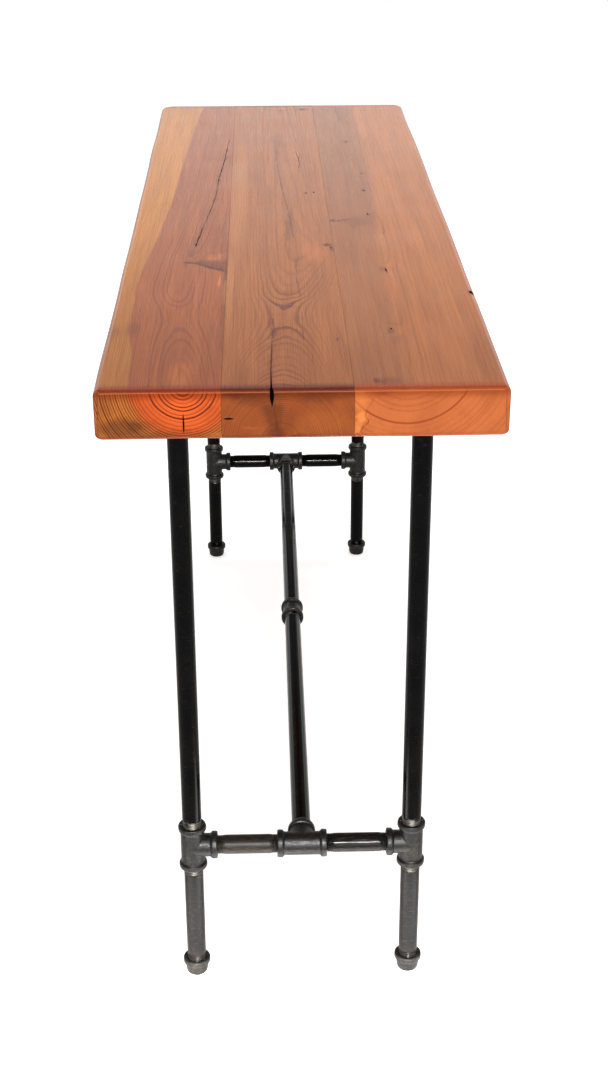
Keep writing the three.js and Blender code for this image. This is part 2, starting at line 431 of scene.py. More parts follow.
def close_on_axis(verts, faces, segments, bottom_z, top_z):
    """Closes both ends of a surface of revolution with fans that meet on the axis."""
    last, bottom, top = len(verts) - segments, len(verts), len(verts) + 1
    verts += [(0, 0, bottom_z), (0, 0, top_z)]
    for i in range(segments):
        j = (i + 1) % segments
        faces += [(bottom, j, i), (top, last + i, last + j)]


def solid_of_revolution(name, profile, segments):
    """A closed object turned about Z, from a profile that starts and ends on the axis."""
    verts, faces = turn_rows([point for point in profile if point[0] > 0], segments)
    close_on_axis(verts, faces, segments, profile[0][1], profile[-1][1])
    return mesh_object(name, verts, faces)


def apply_modifiers(obj):
    evaluated = obj.evaluated_get(bpy.context.evaluated_depsgraph_get())
    mesh = bpy.data.meshes.new_from_object(evaluated)
    obj.modifiers.clear()
    obj.data = mesh


def cut(target, cutter):
    """Takes cutter out of target, and removes it."""
    modifier = target.modifiers.new("cut", "BOOLEAN")
    modifier.operation = "DIFFERENCE"
    modifier.solver = "EXACT"
    modifier.material_mode = "TRANSFER"
    modifier.object = cutter
    bpy.context.view_layer.update()
    apply_modifiers(target)
    bpy.data.objects.remove(cutter)


def merge_cast(name, parts, voxel, smoothing):
    """Joins closed solids into one skin with soft inner corners, as a sand casting has."""
    verts, faces = [], []
    for part in parts:
        start = len(verts)
        verts += [part.matrix_world @ v.co for v in part.data.vertices]
        faces += [[start + i for i in polygon.vertices] for polygon in part.data.polygons]
        bpy.data.objects.remove(part)
    made = mesh_object(name, verts, faces)
    remesh = made.modifiers.new("skin", "REMESH")
    remesh.mode = "VOXEL"
    remesh.voxel_size = voxel
    smooth = made.modifiers.new("soften", "SMOOTH")
    smooth.factor = 0.5
    smooth.iterations = smoothing
    bpy.context.view_layer.update()
    apply_modifiers(made)
    return made


# ---------------------------------------------------------------- iron and steel


def cast_iron():
    """Oiled sand-cast iron: fine lumps, scattered pits, and brighter metal on the sharp edges, part worn bare
    and part painted highlight.
    """
    shader = Shader("cast_iron_oiled")
    lumps = shader.noise(shader.place, 620, detail=5, roughness=0.7)
    patches = shader.noise(shader.place, 210, detail=5, roughness=0.65)
    pits = shader.fade(shader.cells(shader.place, 380), 0.0, 0.3, 1.0, 0.0)
    broad = shader.noise(shader.place, 40, detail=4)
    pointiness = shader.node("ShaderNodeNewGeometry").outputs["Pointiness"]
    # The sharp edges and rims are lighter: partly metal worn bright, partly a painted highlight.
    rubbed_and_highlight = shader.fade(shader.add(pointiness, shader.mul(shader.sub(patches, 0.5), 0.1)), 0.535, 0.6)
    shades = [(0.3, colour(15, 15, 15)), (0.55, colour(22, 21, 20)), (0.75, colour(34, 31, 28))]
    base = shader.ramp(broad, shades)
    base = shader.tint(base, shader.fade(patches, 0.48, 0.68, 0.0, 0.34), 66, 60, 50)
    base = shader.tint(base, shader.fade(lumps, 0.5, 0.7, 0.0, 0.28), 84, 78, 66)
    base = shader.tint(base, shader.mul(pits, 0.7), 10, 9, 9)
    base = shader.tint(base, shader.mul(rubbed_and_highlight, 0.85), 172, 166, 152)
    shader.set("Base Color", base)
    shader.set("Metallic", shader.fade(shader.add(rubbed_and_highlight, shader.mul(patches, 0.4)), 0.1, 1.0, 0.02, 0.7))
    shader.set("Roughness", shader.fade(patches, 0.35, 0.7, 0.46, 0.28))
    shader.set("IOR", 1.19)
    shader.bump(shader.add(shader.sub(lumps, shader.mul(pits, 0.7)), shader.mul(patches, 1.5)), 0.6, 0.0004)
    return shader.material


def pipe_lacquer():
    """Glossy black lacquer, worn to steel where a pipe's "bare" value is high. On pieces near the camera it
    has scuffs and a dull finish, and painted light turns it grey.
    """
    shader = Shader("pipe_lacquer")
    grit = shader.noise(shader.place, 420, detail=4, roughness=0.7)
    broad = shader.noise(shader.place, 28, detail=3)
    level = shader.node("ShaderNodeAttribute", attribute_name="bare").outputs["Fac"]
    scuff_and_painted_light = shader.node("ShaderNodeAttribute", attribute_name="scuff_and_painted_light").outputs["Fac"]
    level = shader.add(level, shader.mul(shader.sub(shader.noise(shader.place, 130, detail=4), 0.5), 1.5))
    bare = shader.fade(level, 0.55, 0.95)
    x, y, z = shader.split(shader.place)
    streaky = shader.noise(shader.join(x, shader.mul(y, 0.16), z), 520, detail=6, roughness=0.7)
    scuffs = shader.fade(shader.add(streaky, shader.mul(scuff_and_painted_light, 0.15)), 0.58, 0.8)
    lacquer = shader.mix(shader.fade(broad, 0.35, 0.7), colour(3, 3, 3), colour(8, 7, 7))
    # Painted light: the lacquer on the pieces near the camera is made grey.
    lacquer = shader.tint(lacquer, shader.mul(scuff_and_painted_light, 0.6), 50, 48, 46)
    lacquer = shader.tint(lacquer, shader.mul(scuffs, 0.6), 74, 62, 48)
    steel = shader.mix(grit, colour(36, 35, 33), colour(100, 96, 88))
    shader.set("Base Color", shader.mix(bare, lacquer, steel))
    shader.set("Metallic", shader.mul(bare, 0.3))
    worn = shader.add(shader.noise(shader.place, 60, detail=5), shader.mul(shader.add(scuffs, bare), 0.45))
    worn = shader.add(worn, shader.fade(scuff_and_painted_light, 0.6, 1.0, 0.0, 0.3))
    shader.set("Roughness", shader.fade(worn, 0.4, 0.95, 0.07, 0.42))
    shader.set("IOR", 1.13)
    shader.bump(shader.add(grit, shader.mul(broad, 2.0)), 0.1, 0.0003)
    return shader.material


def black_oxide():
    """The chemical black of wood screws, with a fine speckle."""
    shader = Shader("screw_black_oxide")
    speckle = shader.noise(shader.place, 700, detail=4)
    shader.set("Base Color", shader.mix(speckle, colour(34, 34, 37), colour(74, 74, 80)))
    shader.set("Metallic", 0.9)
    shader.set("Roughness", shader.fade(speckle, 0.3, 0.7, 0.3, 0.5))
    shader.bump(speckle, 0.2, 0.0001)
    return shader.material


# ---------------------------------------------------------------- timber

# Each board is described in millimetres in the row frame, with depths measured down from the top face.
# pith: (x, y, depth) along the line that the growth rings go round; a negative depth is above the top.
# heart_radius: (x, radius) where the red heartwood ends and the yellow sapwood starts.
# ring: the mean width of a growth ring. tighter: (distance, rate), past which the rings get closer together.
# prominence: how clear the faintest and the clearest late wood is. wander: how far slow, quick and fine waves
# push a ring. figure_width: how far to the side of the pith the flame figure is still clear.
# face, sap, end, end_sap: the light and dark colours of a ring on long faces and on end grain.
# edge: the colour of the painted shade on rounded edges, beside the ends, and by the top and bottom of the end
# faces.
# end_outer: (from, to, strength) of a darker outer zone on end grain.
# swells: (x, y, half length, half width, push) where rings go round a knot, or close up if push is negative.
# blotches, glows (lighter and redder) and pale: (x, y, half length, half width, strength); on end grain,
# (y, depth, half width, half height, strength). hairlines: (half width, strength, [(x, y), ...]); cross_lines
# have (y, x) and end_lines (depth, y). end_rings: (distance from the pith, half width, strength).
# stain: a band that is darker, with its strength at the far and the near end.
TIMBERS = {
    "front": {
        "pith": [
            (-651, -76, -3), (-409, -80, -2), (-259, -86, -2), (-59, -94, -2), (80, -104, -2),
            (176, -112, -5), (240, -119, -11), (300, -123, -14), (340, -125, -15.5), (385, -123, -20),
            (435, -120, -25), (470, -118, -23), (540, -115, -15), (600, -112, -8.5), (651, -109, -4.5),
        ],
        "heart_radius": [
            (-651, 44), (-333, 56), (9, 53), (253, 49), (352, 49), (447, 56), (511, 53), (571, 49), (651, 50),
        ],
        "ring": 3.7,
        "tighter": (44, 0.15),
        "prominence": (0.3, 1.0),
        "wander": (2.4, 1.0, 0.4),
        "figure_width": 400,
        "edge": (122, 34, 2),
        "face": ((156, 83, 36), (110, 48, 18)),
        "sap": ((190, 122, 44), (148, 86, 28)),
        "end": ((232, 98, 36), (96, 26, 10)),
        "end_sap": ((212, 124, 50), (24, 14, 6)),
        "end_outer": (20, 50, 0.26),
        "face_contrast": 0.7,
        "end_contrast": 1.4,
        "swells": [(252, -80, 40, 26, 10)],
        "blotches": [
            (256, -82, 15, 8, 0.5), (590, -112, 80, 30, 0.12), (470, -166, 26, 8, 0.4),
            (480, -184, 22, 7, 0.3),
        ],
        "glows": [
            (606, -113, 44, 14, 0.22), (222, -92, 16, 6, 0.25), (214, -84, 16, 3, 0.25),
            (312, -82, 26, 1.8, 0.6),
        ],
        "end_blotches": [
            (-166, 36, 30, 12, 0.6), (-156, 34, 12, 8, 0.7), (-180, 14, 10, 16, 0.3), (-122, 45, 60, 9, 0.45),
        ],
        "end_glows": [(-78, 44, 14, 4, 0.35)],
        "hairlines": [
            (0.6, 0.5, [
                (-420, -79), (-359, -82.5), (-259, -86), (-159, -91.5), (-59, -94), (21, -100), (92, -106),
                (176, -112.5),
            ]),
            (4.2, 0.34, [(-300, -84), (-159, -91.5), (-59, -94), (60, -103), (150, -111), (222, -116)]),
            (2.6, 0.3, [(60, -78), (140, -82), (235, -80)]),
            (1.6, 0.75, [(222, -76.5), (240, -76), (278, -75.5), (310, -75.5)]),
            (2.4, 0.3, [(150, -76), (300, -76), (480, -76), (560, -75.5)]),
            (2.2, 0.3, [(560, -117), (600, -114), (630, -113), (651, -112)]),
            (5.0, 0.14, [(380, -84), (450, -84), (520, -82)]),
        ],
        "cross_lines": [
            (3.0, 0.5, [(-112, -273), (-97, -275), (-84, -276)]),
            (7.5, 1.0, [(-126, 237), (-113, 240), (-105, 245), (-97, 253), (-88, 262), (-74, 269)]),
            (16.0, 0.6, [(-116, 238), (-102, 241), (-92, 246), (-82, 250), (-73, 252)]),
            (2.4, 0.8, [(-104, 240), (-92, 246), (-83, 253), (-74, 259)]),
            (1.4, 0.5, [(-94, 240), (-86, 243), (-76, 247)]),
        ],
    },
    "middle": {
        "pith": [
            (-651, -12, 66), (-400, -8, 64), (-200, -5, 63), (0, -2, 62), (130, 0, 61.5), (220, -1, 62),
            (300, -4, 64.5), (360, -9, 68), (440, -14, 73), (480, -13, 71.6), (540, -16, 65.8),
            (600, -18, 59), (651, -20, 49),
        ],
        "ring": 2.1,
        "prominence": (0.35, 1.0),
        "wander": (1.0, 1.3, 0.6),
        "figure_width": 30,
        "edge": (84, 18, 0),
        "face": ((162, 96, 44), (102, 46, 12)),
        "end": ((158, 80, 34), (92, 40, 17)),
        "face_contrast": 1.0,
        "end_contrast": 0.6,
        "swells": [(182, 46, 74, 30, -8)],
        "blotches": [
            (170, 41, 9, 6, 0.95), (186, 46, 13, 4, 0.7), (-614, 32, 13, 9, 0.9), (-76, 22, 6, 2, 0.7),
            (-79, 33, 6, 2, 0.7), (-480, 18, 6, 2, 0.6), (-600, -2, 12, 4, 0.3),
            (-400, -12, 190, 7, 0.22), (0, -4, 200, 8, 0.2),
            (622, -52, 40, 15, 0.2), (509, 38, 5, 1.4, 0.8), (175, 32, 7, 1.4, 0.3),
        ],
        "glows": [(200, 24, 46, 14, 0.2)],
        "pale": [(-60, -64, 330, 12, 0.24), (330, -70, 160, 4, 0.3)],
        "end_blotches": [
            (-24, 42, 11, 8, 0.6), (-40, 8, 26, 8, 0.35), (-60, 3, 14, 5, 0.5), (-20, 30, 16, 12, 0.3),
            (14, 8, 22, 6, 0.3), (-4, 45, 14, 3, 0.4),
        ],
        "end_glows": [(-48, 36, 8, 1.6, 0.14), (20, 30, 26, 12, 0.08)],
        "end_lines": [
            (2.2, 0.7, [(8, -26), (20, -26), (30, -24.5), (40, -23), (47, -22)]),
            (9.0, 0.5, [(10, -28), (20, -27), (30, -25.5), (40, -24), (47, -23)]),
        ],
        "hairlines": [
            (1.1, 0.75, [(-329, -14), (-180, -11), (-60, -6), (14, -2), (140, 2)]),
            (0.55, 0.75, [(-380, 13), (-329, 14), (-290, 16), (-240, 18), (-170, 14)]),
            (1.2, 0.5, [(200, 2), (240, 2.5), (280, 2), (330, 3), (370, 5)]),
            (1.1, 0.75, [(440, -25.5), (480, -25), (540, -27), (600, -28.5), (651, -28.5)]),
            (3.6, 0.3, [(520, -27), (580, -28.5), (651, -29)]),
            (5.0, 0.16, [(270, -5), (320, -5), (350, -9), (400, -12), (450, -17), (490, -19), (520, -21)]),
            (2.4, 0.5, [(470, -26), (487, -24), (500, -23.5)]),
            (0.9, 0.55, [(420, 4), (440, 5), (470, 4), (515, 4)]),
            (0.5, 0.45, [(-60, 16), (60, 14), (110, 18)]),
        ],
    },
    "back": {
        "pith": [(-651, 86, -22), (-200, 89, -27), (84, 92, -23), (300, 94, -26), (651, 96, -29)],
        "ring": 5.4,
        "prominence": (0.0, 1.0),
        "wander": (4, 1.6, 0.5),
        "figure_width": 400,
        "edge": (150, 58, 14),
        "face": ((174, 104, 50), (140, 78, 40)),
        "end": ((201, 108, 57), (150, 64, 30)),
        "face_contrast": 0.4,
        "end_contrast": 0.28,
        "swells": [(-378, 88, 22, 12, 5), (36, 96, 20, 10, 5), (270, 102, 24, 10, 5), (483, 94, 20, 10, 4)],
        "blotches": [
            (-378, 88, 13, 8, 0.45), (-378, 89, 5, 2.6, 0.95), (-181, 101, 5, 3, 0.5), (-87, 98, 9, 4, 0.6),
            (34, 96, 12, 4, 0.4), (48, 100, 16, 9, 0.18), (66, 84, 24, 14, 0.34), (62, 51, 9, 5, 0.85),
            (64, 59, 6, 3, 0.9), (272, 99, 11, 5, 0.45), (484, 92, 10, 5, 0.5), (515, 93, 12, 5, 0.2),
            (629, 69, 9, 4, 0.8), (633, 75, 10, 4, 0.7), (632, 80, 16, 12, 0.4), (359, 187, 14, 5, 0.4),
            (-560, 88, 60, 6, 0.3), (560, 178, 90, 14, 0.16),
        ],
        "end_blotches": [(50, 45, 4, 3, 0.6), (70, 3, 12, 3, 0.4)],
        "end_glows": [(53, 12, 7, 14, 0.3), (54, 27, 5, 7, 0.65), (50, 38, 4, 10, 0.5)],
        "end_lines": [(0.7, 0.6, [(6, 66), (14, 62), (20, 58.5), (26, 57), (31, 60), (36, 56), (44, 52)])],
        "end_rings": [(62.5, 0.9, 0.85), (50.5, 0.7, 0.3), (39.0, 0.7, 0.35), (86.0, 0.7, 0.3)],
        "hairlines": [
            (0.9, 0.8, [(-640, 85), (-600, 84), (-560, 86), (-520, 85)]),
            (0.7, 0.35, [(-330, 84), (-250, 85), (-120, 86)]),
            (0.9, 0.8, [(24, 97), (30, 96.5), (40, 95)]),
            (1.3, 0.8, [(262, 101.5), (274, 101.8), (288, 103)]),
            (0.9, 0.4, [(58, 113), (80, 112), (110, 111), (130, 109)]),
        ],
        "cross_lines": [
            (4.0, 0.85, [(46, 62), (53, 63), (60, 60), (66, 59), (74, 56)]),
            (3.0, 0.6, [(60, 60), (66, 66), (70, 74), (73, 86), (80, 98)]),
        ],
        "stain": {
            "centre": [(-651, 74), (-261, 74), (84, 68), (651, 60)], "half_width": 38, "strength": (0.5, 0.36),
        },
    },
}
STAIN_COLOUR = (112, 70, 44)
BLOTCH_COLOUR = (86, 31, 5)
END_BLOTCH_COLOUR = (60, 30, 14)
PALE_COLOUR = (200, 134, 74)
# A painted highlight: the lighter colour of a thin line along the upper arris at each end.
ARRIS_HIGHLIGHT_COLOUR = (238, 142, 84)
GLOW_COLOUR = (226, 126, 62)
END_GLOW_COLOUR = (248, 150, 72)
END_OUTER_COLOUR = (140, 64, 24)


class TimberShader(Shader):
    """Varnished wood. Its patterns are worked out in millimetres in the row frame."""

    def __init__(self, name, timber, top, half_length):
        super().__init__(name)
        self.timber = timber
        self.half_length = half_length / MM
        self.x, self.y, height = (self.mul(part, 1 / MM) for part in self.split(self.place))
        self.depth = self.sub(top / MM, height)
        self.ragged_u = self.add(self.mul(self.streaks(16, 5), 9), self.mul(self.streaks(5, 1.6), 4))
        coarse, fine = self.streaks(22, 6, seed=30), self.streaks(6, 1.4, seed=40)
        self.ragged_v = self.add(self.mul(coarse, 6), self.mul(fine, 2.6))

    def streaks(self, length, width, detail=3.0, roughness=0.5, seed=0.0):
        """Noise from about -0.5 to 0.5, drawn out along the grain. Both sizes are in millimetres."""
        x = self.add(self.mul(self.x, 1 / length), seed)
        drawn_out = self.join(x, self.mul(self.y, 1 / width), self.mul(self.depth, 1 / width))
        return self.sub(self.noise(drawn_out, 1.0, detail, roughness), 0.5)

    def hypotenuse(self, a, b):
        return self.math("SQRT", self.add(self.mul(a, a), self.mul(b, b)))

    def falloff(self, u, v, at_u, at_v, half_u, half_v):
        """The distance from a place, as a share of its ellipse's half sizes."""
        u, v = self.mul(self.sub(u, at_u), 1 / half_u), self.mul(self.sub(v, at_v), 1 / half_v)
        return self.hypotenuse(u, v)

    def bell(self, distance):
        """1 at no distance, and nearly 0 by a distance of 2."""
        return self.math("EXPONENT", self.mul(self.mul(distance, distance), -1))

    def rings(self):
        """How far into late wood a point is, how strong the figure is, and the distance from the pith."""
        pith = self.timber["pith"]
        across = self.sub(self.y, self.along(self.x, [(x, y) for x, y, _ in pith]))
        below = self.sub(self.depth, self.along(self.x, [(x, depth) for x, _, depth in pith]))
        distance = self.hypotenuse(across, below)
        slow, quick, fine = self.timber["wander"]
        radius = self.add(distance, self.mul(self.streaks(220, 45), slow))
        radius = self.add(radius, self.mul(self.streaks(34, 13), quick))
        radius = self.add(radius, self.mul(self.streaks(9, 5), fine))
        for *ellipse, push in self.timber["swells"]:
            radius = self.add(radius, self.mul(self.bell(self.falloff(self.x, self.y, *ellipse)), push))
        count = self.mul(radius, 1 / self.timber["ring"])
        if "tighter" in self.timber:
            start, rate = self.timber["tighter"]
            count = self.add(count, self.mul(self.most(self.sub(radius, start), 0.0), rate))
        count = self.add(count, self.mul(self.noise(self.join(count, 0.0, 0.0), 0.9, 2), 0.9))
        part = self.math("FRACT", count)
        late = self.mul(self.fade(part, 0.45, 0.9), self.fade(part, 0.93, 1.0, 1.0, 0.0))
        ring_by_ring = self.noise(self.join(count, 7.0, 0.0), 0.55, 1)
        late = self.mul(late, self.fade(ring_by_ring, 0.35, 0.6, *self.timber["prominence"]))
        near = self.bell(self.mul(across, 1 / self.timber["figure_width"]))
        return late, self.fade(near, 0.0, 1.0, 0.3, 1.0), distance

    def blotches(self, u, v, key):
        """The strongest of some ragged ellipses."""
        strongest = 0.0
        u, v = self.add(u, self.ragged_u), self.add(v, self.ragged_v)
        for *ellipse, strength in self.timber.get(key, ()):
            mark = self.fade(self.falloff(u, v, *ellipse), 0.35, 1.3, strength, 0.0)
            strongest = self.most(mark, strongest)
        return strongest

    def hairlines(self, u, v, key):
        """The darkest of some thin lines. Each wanders off its points a little, and breaks up on its way."""
        strongest = 0.0
        for n, (half_width, strength, points) in enumerate(self.timber.get(key, ())):
            wander = self.sub(self.noise(self.join(self.mul(u, 0.06), 3.0 * n, 0.0), 1.0, 3), 0.5)
            offset = self.absolute(self.sub(self.sub(v, self.along(u, points)), self.mul(wander, 3.2)))
            breaks = self.noise(self.join(self.mul(u, 0.03), 3.0 * n + 50, 0.0), 1.0, 4)
            width = self.fade(breaks, 0.36, 0.62, half_width * 0.3, half_width * 1.4)
            line = self.fade(self.math("DIVIDE", offset, width), 0.4, 1.2, strength, 0.0)
            line = self.mul(line, self.fade(u, points[0][0] - 2, points[0][0] + 6))
            line = self.mul(line, self.fade(u, points[-1][0] - 6, points[-1][0] + 2, 1.0, 0.0))
            strongest = self.most(line, strongest)
        return strongest

    def toned(self, late, key, contrast):
        light, dark = self.timber[key]
        return self.mix(self.mul(late, contrast), colour(*light), colour(*dark))

    def face_grain(self, late, figure, sapwood):
        """The long faces: rings cut along their length, with broad and fine streaks over them."""
        wood = self.toned(self.mul(late, figure), "face", self.timber["face_contrast"])
        if sapwood is not None:
            sap = self.tint(self.toned(late, "sap", 0.6), self.fade(self.x, 100, 450, 0.0, 0.25), 120, 62, 14)
            wood = self.mix(sapwood, wood, sap)
        wood = self.tint(wood, self.fade(self.streaks(260, 18), -0.2, 0.15, 0.25, 0.0), 112, 54, 26)
        wood = self.tint(wood, self.fade(self.x, 330, 620, 0.0, 0.23), 98, 40, 12)
        wood = self.tint(wood, self.fade(self.streaks(200, 10, seed=12), 0.02, 0.22, 0.0, 0.2), 206, 126, 70)
        fine = self.streaks(330, 1.5, 2, seed=60)
        wood = self.tint(wood, self.fade(fine, -0.16, 0.1, 0.26, 0.0), 108, 50, 22)
        return self.stained(wood) if "stain" in self.timber else wood

    def stained(self, wood):
        """A darker band along a board, stronger towards the far end."""
        stain = self.timber["stain"]
        offset = self.absolute(self.sub(self.y, self.along(self.x, stain["centre"])))
        offset = self.add(offset, self.mul(self.streaks(60, 7), 16))
        band = self.fade(offset, stain["half_width"] * 0.75, stain["half_width"] * 1.15, 1.0, 0.0)
        strength = self.fade(self.x, -100, 250, *stain["strength"])
        return self.tint(wood, self.mul(band, strength), *STAIN_COLOUR)

    def end_grain(self, late, sapwood, distance):
        """The ends: rings cut across, with the marks that the ends alone have."""
        wood = self.toned(late, "end", self.timber["end_contrast"])
        if sapwood is not None:
            wood = self.mix(sapwood, wood, self.toned(late, "end_sap", self.timber["end_contrast"]))
        wood = self.tint(wood, self.fade(self.streaks(60, 30, 4), -0.2, 0.12, 0.25, 0.0), 120, 50, 22)
        if "end_outer" in self.timber:
            start, stop, strength = self.timber["end_outer"]
            wood = self.tint(wood, self.fade(distance, start, stop, 0.0, strength), *END_OUTER_COLOUR)
        for radius, half_width, strength in self.timber.get("end_rings", ()):
            offset = self.absolute(self.sub(distance, radius))
            ring = self.fade(offset, half_width * 0.4, half_width * 1.6, strength, 0.0)
            wood = self.tint(wood, ring, *self.timber["end"][1])
        wood = self.tint(wood, self.blotches(self.y, self.depth, "end_glows"), *END_GLOW_COLOUR)
        marks = self.most(
            self.blotches(self.y, self.depth, "end_blotches"),
            self.hairlines(self.depth, self.y, "end_lines"),
        )
        return self.tint(wood, marks, *END_BLOTCH_COLOUR)

    def marked(self, face):
        """The knots, stains and cracks of the long faces."""
        face = self.tint(face, self.blotches(self.x, self.y, "glows"), *GLOW_COLOUR)
        face = self.tint(face, self.blotches(self.x, self.y, "pale"), *PALE_COLOUR)
        marks = self.most(
            self.blotches(self.x, self.y, "blotches"),
            self.hairlines(self.x, self.y, "hairlines"),
            self.hairlines(self.y, self.x, "cross_lines"),
        )
        return self.tint(face, marks, *BLOTCH_COLOUR)

    def rounded_edge(self):
        """Where shade is painted on a rounded edge or beside an end, how far a point is on an end's face, and
        where a highlight is painted on an end's arris.
        """
        parts = self.split(self.node("ShaderNodeTexCoord").outputs["Normal"])
        flatness = self.most(*(self.absolute(part) for part in parts))
        beside_end = self.fade(self.absolute(self.x), self.half_length - 22, self.half_length - 7)
        rounded = self.fade(flatness, 0.8, 0.98, 1.0, 0.0)
        facing = self.absolute(parts[0])
        # The band on the upper arris of each end where a highlight is painted.
        arris = self.fade(self.absolute(self.sub(parts[2], 0.68)), 0.02, 0.1, 1.0, 0.0)
        end_arris = self.mul(arris, self.fade(facing, 0.2, 0.5))
        return self.most(self.mul(rounded, 0.75), beside_end), facing, end_arris

    def build(self):
        late, figure, distance = self.rings()
        sapwood, soft_sapwood = None, None
        if "heart_radius" in self.timber:
            past_heart = self.sub(distance, self.along(self.x, self.timber["heart_radius"]))
            past_heart = self.add(past_heart, self.mul(self.streaks(90, 8), 3))
            sapwood = self.fade(past_heart, -1.2, 1.2)
            soft_sapwood = self.fade(past_heart, -6, 4)
        edge_shade, end_facing, arris = self.rounded_edge()
        face = self.marked(self.face_grain(late, figure, sapwood))
        # Painted shade: the rounded edges, and the top face beside each end, are darkened to the edge colour.
        face = self.tint(face, self.mul(edge_shade, 0.92), *self.timber["edge"])
        # Painted shade: the end faces are darkened near their top and bottom edges.
        end_edge_shade = self.most(self.fade(self.depth, 3, 12, 0.6, 0.0), self.fade(self.depth, 41.5, 46, 0.0, 0.7))
        end = self.tint(self.end_grain(late, soft_sapwood, distance), end_edge_shade, *self.timber["edge"])
        wood = self.mix(self.fade(end_facing, 0.55, 0.8), face, end)
        # Painted highlight along the upper arris of each end.
        wood = self.tint(wood, self.mul(arris, 0.36), *ARRIS_HIGHLIGHT_COLOUR)
        fibre = self.streaks(120, 0.6, 3, 0.6)
        pores = self.fade(self.streaks(9, 0.3, 2, seed=20), 0.12, 0.26)
        wood = self.tint(wood, self.fade(fibre, -0.2, 0.2, 0.2, 0.0), 96, 42, 18)
        wood = self.tint(wood, self.mul(pores, 0.05), 56, 26, 16)
        self.set("Base Color", wood)
        self.set("Roughness", self.fade(self.add(fibre, self.mul(pores, 0.4)), -0.2, 0.4, 0.26, 0.42))
        self.set("IOR", 1.16)
        self.set("Coat Weight", 0.1)
        self.set("Coat Roughness", 0.12)
        self.bump(self.sub(self.mul(fibre, 0.5), self.add(self.mul(late, 0.35), pores)), 0.16, 0.0003)
        return self.material


def hollow_wood():
    """The near-black inside of a crack, a knot hole or a nail hole."""
    shader = Shader("timber_hollow")
    grit = shader.noise(shader.place, 500, detail=5)
    shader.set("Base Color", shader.mix(grit, colour(8, 5, 4), colour(34, 20, 13)))
    shader.set("Roughness", 0.85)
    shader.set("IOR", 1.2)
    shader.bump(grit, 0.6, 0.0005)
    return shader.material


# ---------------------------------------------------------------- the top

EDGE_RADIUS = 7 * MM
LOWER_EDGE_RADIUS = 4.5 * MM
FAR_CORNER_RADIUS = 17 * MM  # seen from above, at the left-hand end
NEAR_CORNER_RADIUS = 8.5 * MM
EDGE_STEP = 1.1 * MM
FACE_STEP = 3.6 * MM
LENGTH_STEP = 7 * MM
SIDE_WAVE = 1.1 * MM
TOP_WAVE = 0.12 * MM
SPLIT_STEP = 5  # millimetres, like the lists below
BOARD_SHARP_DEGREES = 38

# Splits are cut down from the top face: (half width at the middle, depth, [(x, y), ...]) in millimetres.
SPLITS = {
    "front": [
        (0.5, 6, [(-395, -81), (-359, -82.5), (-259, -86), (-159, -91.5), (-110, -92.8)]),
        (0.3, 4, [(-110, -92.8), (-59, -94), (21, -100), (70, -104)]),
        (0.5, 5, [(84, -105.5), (120, -108.5), (148, -110.5), (176, -112.8)]),
    ],
    "middle": [(0.25, 2.5, [(-320, 14), (-290, 16), (-240, 18), (-190, 14)])],
    "back": [],
}
# The split that runs out through the right-hand end: (x, y, half width, depth) in millimetres.
END_SPLIT = [
    (480, -26, 0.12, 2), (540, -27.5, 0.2, 3), (600, -28.5, 0.35, 6), (630, -28.5, 0.55, 9),
    (643, -28.5, 1.0, 13), (651.5, -28, 2.4, 17), (656, -28, 2.6, 17),
]
# Holes are (x, y, half length, half width, depth) in millimetres, cut down from the top face.
HOLES = {
    "front": [(-150, -91.8, 4, 1.3, 7), (164, -111.9, 4.5, 1.0, 6)],
    "middle": [(-76, 22.5, 2.0, 1.0, 9), (-79, 32.5, 2.0, 1.0, 9), (183, 44.2, 2.4, 0.8, 8)],
    "back": [
        (-378, 89, 2.6, 1.1, 6), (-87, 98, 2.8, 1.0, 8), (33, 96, 4.2, 0.6, 6), (274, 102, 5.6, 0.8, 7),
        (-181, 101, 1.5, 0.8, 5), (478, 93, 2.6, 0.8, 6), (359, 188, 6, 3.2, 10),
    ],
}
# Checks in the right-hand end are (y, z, half width, half height, depth) in millimetres.
END_CHECKS = {"front": [(-109.2, 716, 0.8, 10, 7)], "middle": [(-68, 720.5, 4.5, 1.0, 10)], "back": []}


def spaced(low, high, step, dense_ends):
    """Positions from low to high, closer together in the rounded edges at the ends that dense_ends marks."""
    reach = EDGE_RADIUS * 1.2
    inner_low = low + reach if dense_ends[0] else low
    inner_high = high - reach if dense_ends[1] else high
    marks = [low]
    for start, stop, spacing in (
        (low, inner_low, EDGE_STEP), (inner_low, inner_high, step), (inner_high, high, EDGE_STEP),
    ):
        if stop > start:
            marks += list(np.linspace(start, stop, max(2, round((stop - start) / spacing) + 1))[1:])
    return marks


def box_grid(marks):
    """The six faces of a box as one grid, with its lines at the marks along each axis."""
    index, verts, faces = {}, [], []

    def vertex(i, j, k):
        if (i, j, k) not in index:
            index[i, j, k] = len(verts)
            verts.append(Vector((marks[0][i], marks[1][j], marks[2][k])))
        return index[i, j, k]

    last = [len(m) - 1 for m in marks]
    for axis, a, b in ((0, 1, 2), (1, 2, 0), (2, 0, 1)):
        for side, p, q in itertools.product((0, 1), range(last[a]), range(last[b])):
            corners = []
            for dp, dq in ((0, 0), (1, 0), (1, 1), (0, 1)):
                at = [0, 0, 0]
                at[axis], at[a], at[b] = last[axis] * side, p + dp, q + dq
                corners.append(vertex(*at))
            faces.append(corners if side else corners[::-1])
    return verts, faces


def clamp(value, low, high):
    return min(max(value, low), high)


